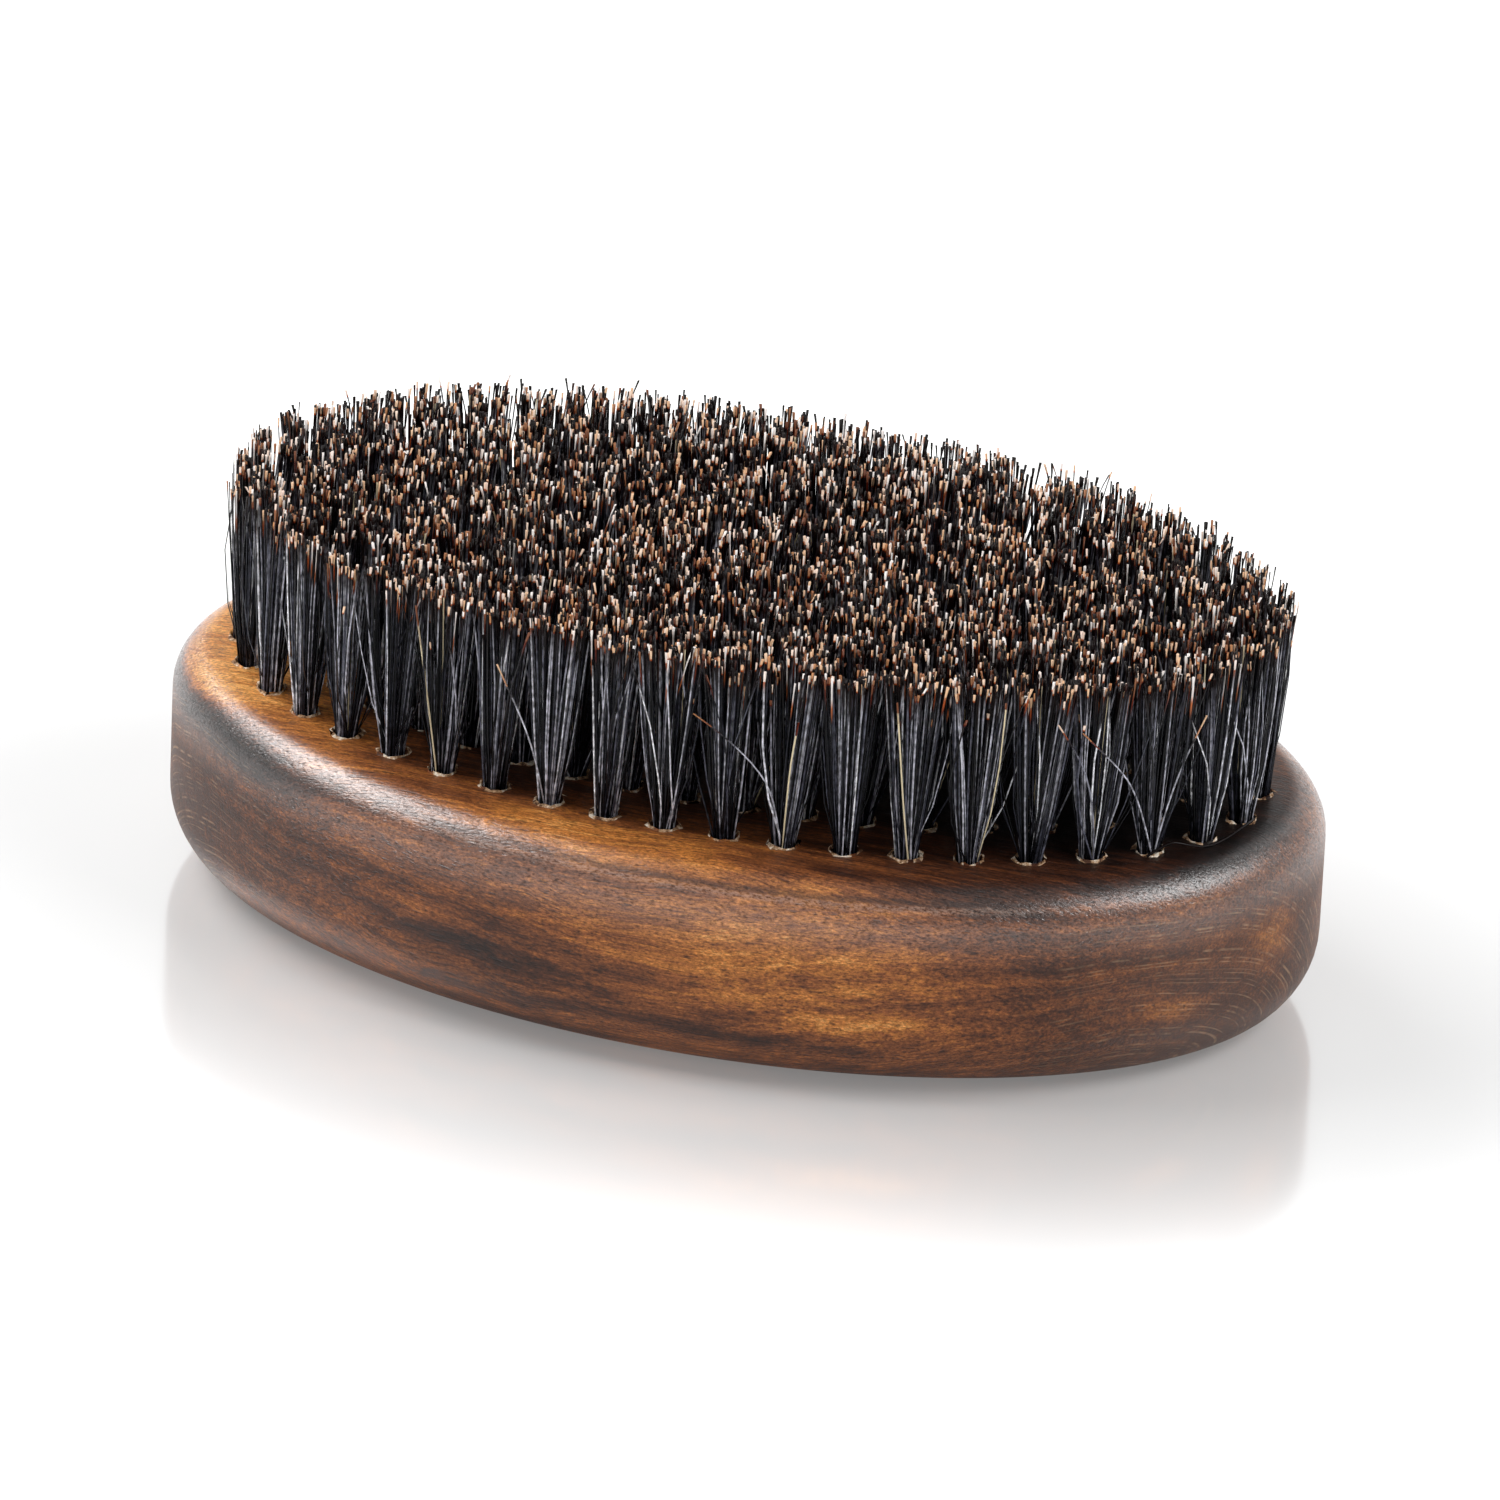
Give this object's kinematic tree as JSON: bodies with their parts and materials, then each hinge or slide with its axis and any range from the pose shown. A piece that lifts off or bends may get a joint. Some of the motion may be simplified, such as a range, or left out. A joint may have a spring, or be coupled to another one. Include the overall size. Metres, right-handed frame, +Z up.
{
  "type": "palm hairbrush",
  "caption": "Oval palm-held beard and hair brush: one-piece wooden block with rounded edges and oval rings of drilled-in boar bristle tufts on its flat face.",
  "frame": {"origin": "middle of the flat underside of the wooden block", "axes": "+X along the oval block, +Y across it, +Z up out of the bristles"},
  "size_m": [0.116, 0.07, 0.0421],
  "materials": {
    "stained_wood": "satin",
    "boar_bristle": "satin",
    "anchor_wire": "satin"
  },
  "bodies": {
    "root": {"wood_block": "stained_wood", "tufts_outer_ring": "boar_bristle", "tufts_second_ring": "boar_bristle", "tufts_third_ring": "boar_bristle", "tufts_inner_ring": "boar_bristle", "tufts_centre_row": "boar_bristle", "anchors_outer_ring": "anchor_wire", "anchors_second_ring": "anchor_wire", "anchors_third_ring": "anchor_wire", "anchors_inner_ring": "anchor_wire", "anchors_centre_row": "anchor_wire"}
  },
  "joints": []
}
